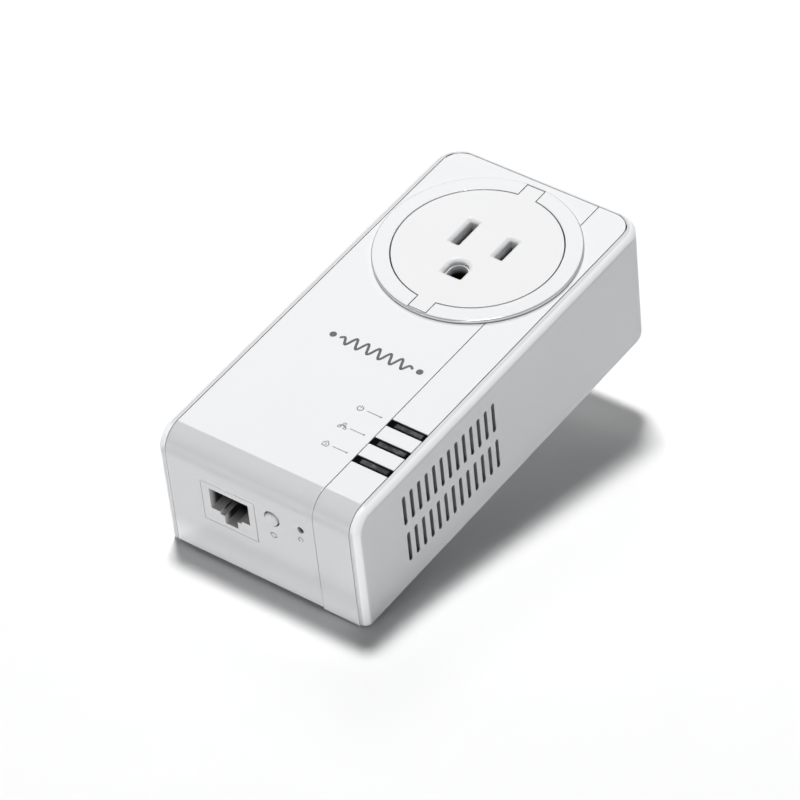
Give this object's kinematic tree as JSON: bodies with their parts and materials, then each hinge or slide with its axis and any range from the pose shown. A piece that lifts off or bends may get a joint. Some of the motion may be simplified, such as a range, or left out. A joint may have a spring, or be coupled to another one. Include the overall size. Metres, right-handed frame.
{
  "type": "powerline adapter",
  "caption": "Plug-in powerline network adapter with a pass-through grounded outlet on its front, a data port, a sync button, a reset switch and three light bars.",
  "frame": {"origin": "centre of the wall-side face", "axes": "+Z out of the front face, +Y towards the outlet end, which is up when it is plugged in, -Y out of the port end"},
  "size_m": [0.061, 0.126, 0.0588],
  "materials": {
    "white_plastic": "satin white moulded plastic",
    "panel_plastic": "semi-gloss white moulded plastic",
    "outlet_plastic": "fine matt white moulded plastic",
    "port_plastic": "fine matt white moulded plastic",
    "window_plastic": "polished smoked black plastic",
    "clear_plastic": "polished clear plastic",
    "led_resin": "moulded resin",
    "black_plastic": "matt black moulded plastic",
    "grey_plastic": "matt grey plastic",
    "board_green": "green solder mask on glass board",
    "ferrite": "sintered ferrite",
    "winding_tape": "yellow winding tape",
    "capacitor_sleeve": "shrink sleeve",
    "fuse_glass": "clear glass tube",
    "nickel": "bright nickel plate",
    "brass": "rolled brass",
    "gold_contacts": "gold-plated spring wire",
    "screw_steel": "zinc-plated steel",
    "aluminium": "extruded aluminium",
    "live_wire": "brown insulation",
    "neutral_wire": "white insulation",
    "ground_wire": "green insulation",
    "label_paper": "blank printed film"
  },
  "bodies": {
    "adapter": {"rear_housing": "white_plastic", "front_cover": "panel_plastic", "led_strip_cover": "panel_plastic", "power_window": "window_plastic", "ethernet_window": "window_plastic", "powerline_window": "window_plastic", "power_light_guide": "clear_plastic", "ethernet_light_guide": "clear_plastic", "powerline_light_guide": "clear_plastic", "power_led": "led_resin", "ethernet_led": "led_resin", "powerline_led": "led_resin", "outlet_ring": "panel_plastic", "socket_face": "outlet_plastic", "socket_carrier": "port_plastic", "contact_neutral": "brass", "contact_live": "brass", "contact_ground": "brass", "plug_base": "outlet_plastic", "plug_blade_neutral": "nickel", "plug_blade_live": "nickel", "plug_ground_pin": "nickel", "lead_live": "live_wire", "lead_neutral": "neutral_wire", "lead_ground": "ground_wire", "ethernet_jack": "port_plastic", "jack_contacts": "gold_contacts", "sync_switch_body": "black_plastic", "reset_switch_body": "black_plastic", "main_board": "board_green", "soc_chip": "black_plastic", "heat_sink": "aluminium", "memory_chip": "black_plastic", "crystal": "aluminium", "lan_transformer": "grey_plastic", "coupling_transformer": "ferrite", "board_link": "black_plastic", "insulation_sheet": "grey_plastic", "mains_board": "board_green", "transformer_core": "ferrite", "transformer_coil": "winding_tape", "bulk_capacitor": "capacitor_sleeve", "output_capacitor": "capacitor_sleeve", "filter_choke": "winding_tape", "safety_capacitor": "capacitor_sleeve", "fuse": "fuse_glass", "varistor": "capacitor_sleeve", "bridge_rectifier": "black_plastic", "case_screw_1": "screw_steel", "case_screw_2": "screw_steel", "case_screw_3": "screw_steel", "case_screw_4": "screw_steel", "rating_label": "label_paper"},
    "sync_button": {"sync_button": "port_plastic"},
    "sync_plunger": {"sync_switch_plunger": "port_plastic"},
    "reset_plunger": {"reset_switch_plunger": "port_plastic"}
  },
  "joints": [
    {"name": "sync_press", "type": "slide", "parent": "adapter", "child": "sync_button", "axis": [0, 1, 0], "range_m": [0, 0.0005], "stiffness_N_per_m": 1600, "springref_m": -0.0005},
    {"name": "sync_switch_press", "type": "slide", "parent": "adapter", "child": "sync_plunger", "axis": [0, 1, 0], "range_m": [0, 0.00025]},
    {"name": "reset_press", "type": "slide", "parent": "adapter", "child": "reset_plunger", "axis": [0, 1, 0], "range_m": [0, 0.00025], "stiffness_N_per_m": 3200, "springref_m": -0.00025}
  ],
  "couplings": [
    {"joint": "sync_switch_press", "follows": "sync_press", "ratio": 0.5}
  ]
}
